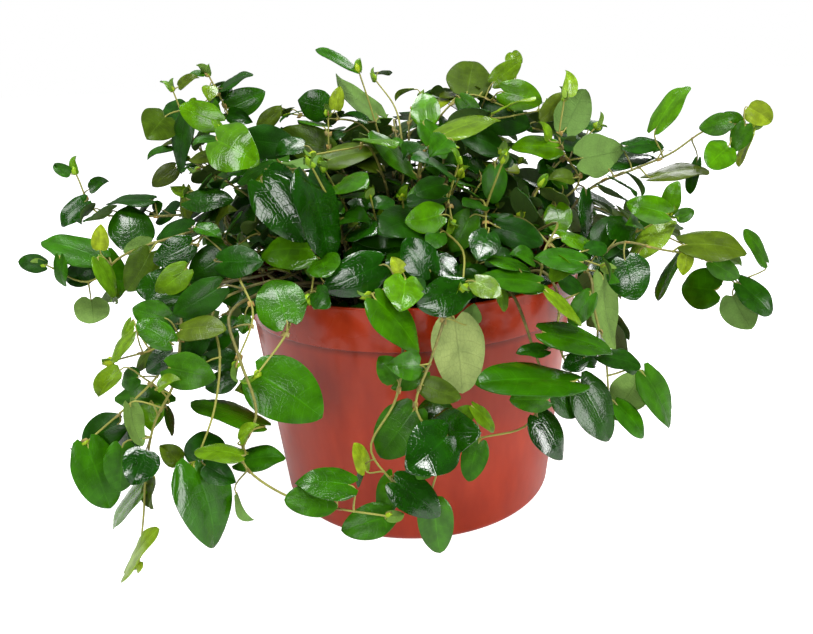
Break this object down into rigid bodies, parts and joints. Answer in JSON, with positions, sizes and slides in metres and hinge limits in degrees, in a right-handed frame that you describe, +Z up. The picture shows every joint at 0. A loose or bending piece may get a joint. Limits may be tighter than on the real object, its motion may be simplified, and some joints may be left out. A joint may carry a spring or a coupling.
{
  "type": "creeping fig in a nursery pot",
  "caption": "Creeping fig with wiry trailing stems and small heart-shaped leaves, mounding over and hanging from a round plastic nursery pot.",
  "frame": {"origin": "middle of the pot's flat underside, on the surface that it stands on", "axes": "+Z up along the pot's axis; -Y is the front, where the low trailing stems hang"},
  "size_m": [0.3191, 0.2917, 0.211],
  "materials": {
    "pot_plastic": "moulded terracotta-coloured plastic, semi-gloss",
    "mix": null,
    "leaf": null
  },
  "bodies": {
    "root": {"pot": "pot_plastic", "potting_mix": "mix", "vine_left_trailing": "leaf", "vine_far_left_trailing": "leaf", "vine_front_left_trailing": "leaf", "vine_left_dark_trailing": "leaf", "vine_front_left_large": "leaf", "vine_front_left_rim": "leaf", "vine_left_glossy": "leaf", "vine_left_arm": "leaf", "vine_left_shoulder": "leaf", "vine_left_arm_upper": "leaf", "vine_upper_left": "leaf", "vine_left_sprig": "leaf", "vine_left_bright": "leaf", "vine_glossy_pair": "leaf", "vine_left_low_bright": "leaf", "vine_left_inner": "leaf", "vine_top_left": "leaf", "vine_top_left_low": "leaf", "vine_top": "leaf", "vine_top_low": "leaf", "vine_right_top": "leaf", "vine_right_arm_upper": "leaf", "vine_right_arm_lower": "leaf", "vine_right_bright": "leaf", "vine_right_trailing": "leaf", "vine_front_right_dark": "leaf", "vine_front_right_low": "leaf", "vine_front_right_rim": "leaf", "vine_middle_glossy": "leaf", "vine_middle_left": "leaf", "vine_middle_rim": "leaf", "vine_middle_trailing": "leaf", "vine_middle_left_trailing": "leaf", "vine_back_trailing_1": "leaf", "vine_back_trailing_2": "leaf", "vine_back_trailing_3": "leaf", "vine_back_trailing_4": "leaf", "vine_back_trailing_5": "leaf", "vine_back_arm_1": "leaf", "vine_back_arm_2": "leaf", "vine_back_arm_3": "leaf", "vine_back_arm_4": "leaf", "vine_back_arm_5": "leaf", "vine_back_arm_6": "leaf", "vine_back_upper_1": "leaf", "vine_back_upper_2": "leaf", "vine_back_upper_3": "leaf", "vine_back_upper_4": "leaf", "vine_back_upper_5": "leaf", "vine_crown_1": "leaf", "vine_crown_2": "leaf", "vine_crown_3": "leaf", "vine_crown_4": "leaf", "vine_crown_5": "leaf", "vine_crown_6": "leaf", "vine_front_fill_1": "leaf", "vine_front_fill_2": "leaf", "vine_front_fill_3": "leaf"}
  },
  "joints": []
}
